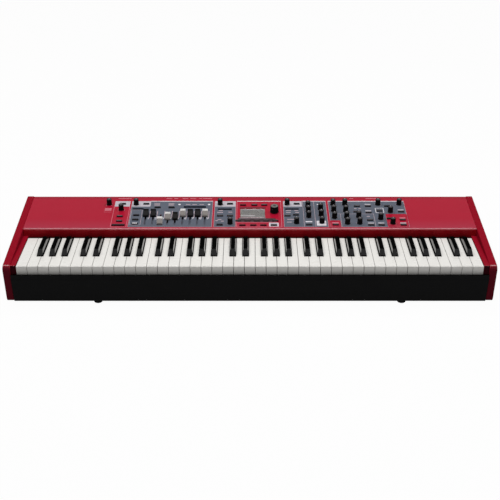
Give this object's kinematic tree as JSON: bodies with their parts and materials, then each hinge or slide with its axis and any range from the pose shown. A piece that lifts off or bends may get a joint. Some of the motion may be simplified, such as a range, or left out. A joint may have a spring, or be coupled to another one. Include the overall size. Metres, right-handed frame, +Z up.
{
  "type": "stage keyboard",
  "caption": "Portable stage keyboard with waterfall keys, pull-out drawbars, knobs and buttons on a sloping red deck between end cheeks.",
  "frame": {"origin": "on the floor plane, under the middle of the instrument's bounding box", "axes": "+X along the keys towards the treble end, +Y from the player to the back, +Z up"},
  "size_m": [1.072, 0.3232, 0.145],
  "materials": {
    "red_paint": "satin red paint on bent sheet",
    "red_wood": "wood end cheek under satin red paint",
    "black_paint": "matt black paint on bent sheet",
    "foot_rubber": "matt black rubber",
    "chassis_metal": "bare rolled metal",
    "circuit_board": "green solder mask",
    "screen": "grey-green unlit display",
    "clear_window": "clear window",
    "grey_plastic": "grey moulded plastic",
    "button_rubber": "dark moulded silicone",
    "white_plastic": "white moulded plastic, low gloss",
    "black_gloss_plastic": "black moulded plastic, low gloss",
    "black_plastic": "matt black moulded plastic"
  },
  "bodies": {
    "housing": {"top_panel": "red_paint", "rear_panel": "black_paint", "base_tray": "black_paint", "left_end_cheek": "red_wood", "right_end_cheek": "red_wood", "foot_front_left": "foot_rubber", "foot_front_right": "foot_rubber", "foot_rear_left": "foot_rubber", "foot_rear_right": "foot_rubber", "keybed_frame": "chassis_metal", "contact_board": "circuit_board", "control_board": "circuit_board", "display_module": "screen", "display_window": "clear_window", "drawbar_housing": "black_plastic", "socket_block": "black_plastic", "power_supply": "chassis_metal", "power_inlet": "black_plastic"},
    "black_keys_lower": {"black_keys_lower": "black_gloss_plastic"},
    "black_keys_upper": {"black_keys_upper": "black_gloss_plastic"},
    "drawbar_1": {"drawbar_1": "black_gloss_plastic"},
    "drawbar_2": {"drawbar_2": "black_gloss_plastic"},
    "drawbar_3": {"drawbar_3": "white_plastic"},
    "drawbar_4": {"drawbar_4": "white_plastic"},
    "drawbar_5": {"drawbar_5": "black_gloss_plastic"},
    "drawbar_6": {"drawbar_6": "white_plastic"},
    "drawbar_7": {"drawbar_7": "black_gloss_plastic"},
    "drawbar_8": {"drawbar_8": "black_gloss_plastic"},
    "drawbar_9": {"drawbar_9": "white_plastic"},
    "effects_button_pad": {"effects_button_pad": "button_rubber"},
    "key_a4": {"key_a4": "white_plastic"},
    "key_a_sharp4": {"key_a_sharp4": "black_gloss_plastic"},
    "key_b4": {"key_b4": "white_plastic"},
    "key_c4": {"key_c4": "white_plastic"},
    "key_c_sharp4": {"key_c_sharp4": "black_gloss_plastic"},
    "key_d4": {"key_d4": "white_plastic"},
    "key_d_sharp4": {"key_d_sharp4": "black_gloss_plastic"},
    "key_e4": {"key_e4": "white_plastic"},
    "key_f4": {"key_f4": "white_plastic"},
    "key_f_sharp4": {"key_f_sharp4": "black_gloss_plastic"},
    "key_g4": {"key_g4": "white_plastic"},
    "key_g_sharp4": {"key_g_sharp4": "black_gloss_plastic"},
    "left_button_pad": {"left_button_pad": "button_rubber"},
    "organ_button_pad": {"organ_button_pad": "button_rubber"},
    "piano_button_pad": {"piano_button_pad": "button_rubber"},
    "power_rocker": {"power_rocker": "grey_plastic"},
    "program_button_pad": {"program_button_pad": "button_rubber"},
    "program_dial": {"program_dial": "black_plastic"},
    "synth_button_pad": {"synth_button_pad": "button_rubber"},
    "synth_knob_1": {"synth_knob_1": "black_plastic"},
    "synth_knob_2": {"synth_knob_2": "black_plastic"},
    "synth_knob_3": {"synth_knob_3": "black_plastic"},
    "synth_knob_4": {"synth_knob_4": "black_plastic"},
    "synth_knob_5": {"synth_knob_5": "black_plastic"},
    "synth_knob_6": {"synth_knob_6": "black_plastic"},
    "synth_knob_7": {"synth_knob_7": "black_plastic"},
    "synth_knob_8": {"synth_knob_8": "black_plastic"},
    "synth_knob_9": {"synth_knob_9": "black_plastic"},
    "white_keys_lower": {"white_keys_lower": "white_plastic"},
    "white_keys_upper": {"white_keys_upper": "white_plastic"}
  },
  "joints": [
    {"name": "black_keys_lower_press", "type": "hinge", "parent": "housing", "child": "black_keys_lower", "pos_m": [0, 0.0634, 0.083], "axis": [1, 0, 0], "range_deg": [0, 3], "stiffness_Nm_per_rad": 15.6, "springref_deg": -6.88},
    {"name": "black_keys_upper_press", "type": "hinge", "parent": "housing", "child": "black_keys_upper", "pos_m": [0, 0.0634, 0.083], "axis": [1, 0, 0], "range_deg": [0, 3], "stiffness_Nm_per_rad": 14.4, "springref_deg": -6.88},
    {"name": "key_a4_press", "type": "hinge", "parent": "housing", "child": "key_a4", "pos_m": [0.07071, 0.0794, 0.088], "axis": [1, 0, 0], "range_deg": [0, 2.4], "stiffness_Nm_per_rad": 1.2, "springref_deg": -6.88},
    {"name": "key_a_sharp4_press", "type": "hinge", "parent": "housing", "child": "key_a_sharp4", "pos_m": [0.08587, 0.0634, 0.083], "axis": [1, 0, 0], "range_deg": [0, 3], "stiffness_Nm_per_rad": 1.2, "springref_deg": -6.88},
    {"name": "key_b4_press", "type": "hinge", "parent": "housing", "child": "key_b4", "pos_m": [0.09429, 0.0794, 0.088], "axis": [1, 0, 0], "range_deg": [0, 2.4], "stiffness_Nm_per_rad": 1.2, "springref_deg": -6.88},
    {"name": "key_c4_press", "type": "hinge", "parent": "housing", "child": "key_c4", "pos_m": [-0.04714, 0.0794, 0.088], "axis": [1, 0, 0], "range_deg": [0, 2.4], "stiffness_Nm_per_rad": 1.2, "springref_deg": -6.88},
    {"name": "key_c_sharp4_press", "type": "hinge", "parent": "housing", "child": "key_c_sharp4", "pos_m": [-0.03771, 0.0634, 0.083], "axis": [1, 0, 0], "range_deg": [0, 3], "stiffness_Nm_per_rad": 1.2, "springref_deg": -6.88},
    {"name": "key_d4_press", "type": "hinge", "parent": "housing", "child": "key_d4", "pos_m": [-0.02357, 0.0794, 0.088], "axis": [1, 0, 0], "range_deg": [0, 2.4], "stiffness_Nm_per_rad": 1.2, "springref_deg": -6.88},
    {"name": "key_d_sharp4_press", "type": "hinge", "parent": "housing", "child": "key_d_sharp4", "pos_m": [-0.00943, 0.0634, 0.083], "axis": [1, 0, 0], "range_deg": [0, 3], "stiffness_Nm_per_rad": 1.2, "springref_deg": -6.88},
    {"name": "key_e4_press", "type": "hinge", "parent": "housing", "child": "key_e4", "pos_m": [0, 0.0794, 0.088], "axis": [1, 0, 0], "range_deg": [0, 2.4], "stiffness_Nm_per_rad": 1.2, "springref_deg": -6.88},
    {"name": "key_f4_press", "type": "hinge", "parent": "housing", "child": "key_f4", "pos_m": [0.02357, 0.0794, 0.088], "axis": [1, 0, 0], "range_deg": [0, 2.4], "stiffness_Nm_per_rad": 1.2, "springref_deg": -6.88},
    {"name": "key_f_sharp4_press", "type": "hinge", "parent": "housing", "child": "key_f_sharp4", "pos_m": [0.03199, 0.0634, 0.083], "axis": [1, 0, 0], "range_deg": [0, 3], "stiffness_Nm_per_rad": 1.2, "springref_deg": -6.88},
    {"name": "key_g4_press", "type": "hinge", "parent": "housing", "child": "key_g4", "pos_m": [0.04714, 0.0794, 0.088], "axis": [1, 0, 0], "range_deg": [0, 2.4], "stiffness_Nm_per_rad": 1.2, "springref_deg": -6.88},
    {"name": "key_g_sharp4_press", "type": "hinge", "parent": "housing", "child": "key_g_sharp4", "pos_m": [0.05893, 0.0634, 0.083], "axis": [1, 0, 0], "range_deg": [0, 3], "stiffness_Nm_per_rad": 1.2, "springref_deg": -6.88},
    {"name": "white_keys_lower_press", "type": "hinge", "parent": "housing", "child": "white_keys_lower", "pos_m": [0, 0.0794, 0.088], "axis": [1, 0, 0], "range_deg": [0, 2.4], "stiffness_Nm_per_rad": 22.8, "springref_deg": -6.88},
    {"name": "white_keys_upper_press", "type": "hinge", "parent": "housing", "child": "white_keys_upper", "pos_m": [0, 0.0794, 0.088], "axis": [1, 0, 0], "range_deg": [0, 2.4], "stiffness_Nm_per_rad": 20.4, "springref_deg": -6.88},
    {"name": "drawbar_1_slide", "type": "slide", "parent": "housing", "child": "drawbar_1", "axis": [0, -0.9942, -0.1076], "range_m": [0, 0.037]},
    {"name": "drawbar_2_slide", "type": "slide", "parent": "housing", "child": "drawbar_2", "axis": [0, -0.9942, -0.1076], "range_m": [0, 0.037]},
    {"name": "drawbar_3_slide", "type": "slide", "parent": "housing", "child": "drawbar_3", "axis": [0, -0.9942, -0.1076], "range_m": [-0.037, 0]},
    {"name": "drawbar_4_slide", "type": "slide", "parent": "housing", "child": "drawbar_4", "axis": [0, -0.9942, -0.1076], "range_m": [-0.015, 0.022]},
    {"name": "drawbar_5_slide", "type": "slide", "parent": "housing", "child": "drawbar_5", "axis": [0, -0.9942, -0.1076], "range_m": [-0.015, 0.022]},
    {"name": "drawbar_6_slide", "type": "slide", "parent": "housing", "child": "drawbar_6", "axis": [0, -0.9942, -0.1076], "range_m": [0, 0.037]},
    {"name": "drawbar_7_slide", "type": "slide", "parent": "housing", "child": "drawbar_7", "axis": [0, -0.9942, -0.1076], "range_m": [0, 0.037]},
    {"name": "drawbar_8_slide", "type": "slide", "parent": "housing", "child": "drawbar_8", "axis": [0, -0.9942, -0.1076], "range_m": [0, 0.037]},
    {"name": "drawbar_9_slide", "type": "slide", "parent": "housing", "child": "drawbar_9", "axis": [0, -0.9942, -0.1076], "range_m": [0, 0.037]},
    {"name": "synth_knob_1_turn", "type": "hinge", "parent": "housing", "child": "synth_knob_1", "pos_m": [0.1374, 0.10899, 0.12962], "axis": [0, -0.1076, 0.9942], "range_deg": [-150, 150]},
    {"name": "synth_knob_2_turn", "type": "hinge", "parent": "housing", "child": "synth_knob_2", "pos_m": [0.1374, 0.08573, 0.1271], "axis": [0, -0.1076, 0.9942], "range_deg": [-150, 150]},
    {"name": "synth_knob_3_turn", "type": "hinge", "parent": "housing", "child": "synth_knob_3", "pos_m": [0.1374, 0.05948, 0.12426], "axis": [0, -0.1076, 0.9942], "range_deg": [-150, 150]},
    {"name": "synth_knob_4_turn", "type": "hinge", "parent": "housing", "child": "synth_knob_4", "pos_m": [0.1668, 0.09637, 0.12825], "axis": [0, -0.1076, 0.9942], "range_deg": [-150, 150]},
    {"name": "synth_knob_5_turn", "type": "hinge", "parent": "housing", "child": "synth_knob_5", "pos_m": [0.1668, 0.06644, 0.12501], "axis": [0, -0.1076, 0.9942], "range_deg": [-150, 150]},
    {"name": "synth_knob_6_turn", "type": "hinge", "parent": "housing", "child": "synth_knob_6", "pos_m": [0.1668, 0.03244, 0.12133], "axis": [0, -0.1076, 0.9942], "range_deg": [-150, 150]},
    {"name": "synth_knob_7_turn", "type": "hinge", "parent": "housing", "child": "synth_knob_7", "pos_m": [0.1974, 0.11844, 0.13064], "axis": [0, -0.1076, 0.9942], "range_deg": [-150, 150]},
    {"name": "synth_knob_8_turn", "type": "hinge", "parent": "housing", "child": "synth_knob_8", "pos_m": [0.1974, 0.08742, 0.12728], "axis": [0, -0.1076, 0.9942], "range_deg": [-150, 150]},
    {"name": "synth_knob_9_turn", "type": "hinge", "parent": "housing", "child": "synth_knob_9", "pos_m": [0.1974, 0.0554, 0.12382], "axis": [0, -0.1076, 0.9942], "range_deg": [-150, 150]},
    {"name": "program_dial_turn", "type": "hinge", "parent": "housing", "child": "program_dial", "pos_m": [0.0576, 0.08344, 0.12685], "axis": [0, -0.1076, 0.9942], "continuous": true},
    {"name": "left_button_press", "type": "slide", "parent": "housing", "child": "left_button_pad", "axis": [0, 0.1076, -0.9942], "range_m": [0, 0.0008], "stiffness_N_per_m": 2000, "springref_m": -0.0005},
    {"name": "organ_button_press", "type": "slide", "parent": "housing", "child": "organ_button_pad", "axis": [0, 0.1076, -0.9942], "range_m": [0, 0.0008], "stiffness_N_per_m": 2000, "springref_m": -0.0005},
    {"name": "piano_button_press", "type": "slide", "parent": "housing", "child": "piano_button_pad", "axis": [0, 0.1076, -0.9942], "range_m": [0, 0.0008], "stiffness_N_per_m": 2000, "springref_m": -0.0005},
    {"name": "program_button_press", "type": "slide", "parent": "housing", "child": "program_button_pad", "axis": [0, 0.1076, -0.9942], "range_m": [0, 0.0008], "stiffness_N_per_m": 2000, "springref_m": -0.0005},
    {"name": "synth_button_press", "type": "slide", "parent": "housing", "child": "synth_button_pad", "axis": [0, 0.1076, -0.9942], "range_m": [0, 0.0008], "stiffness_N_per_m": 2000, "springref_m": -0.0005},
    {"name": "effects_button_press", "type": "slide", "parent": "housing", "child": "effects_button_pad", "axis": [0, 0.1076, -0.9942], "range_m": [0, 0.0008], "stiffness_N_per_m": 2000, "springref_m": -0.0005},
    {"name": "power_rocker_tip", "type": "hinge", "parent": "housing", "child": "power_rocker", "pos_m": [0.447, 0.15428, 0.0525], "axis": [-1, 0, 0], "range_deg": [0, 20]}
  ]
}
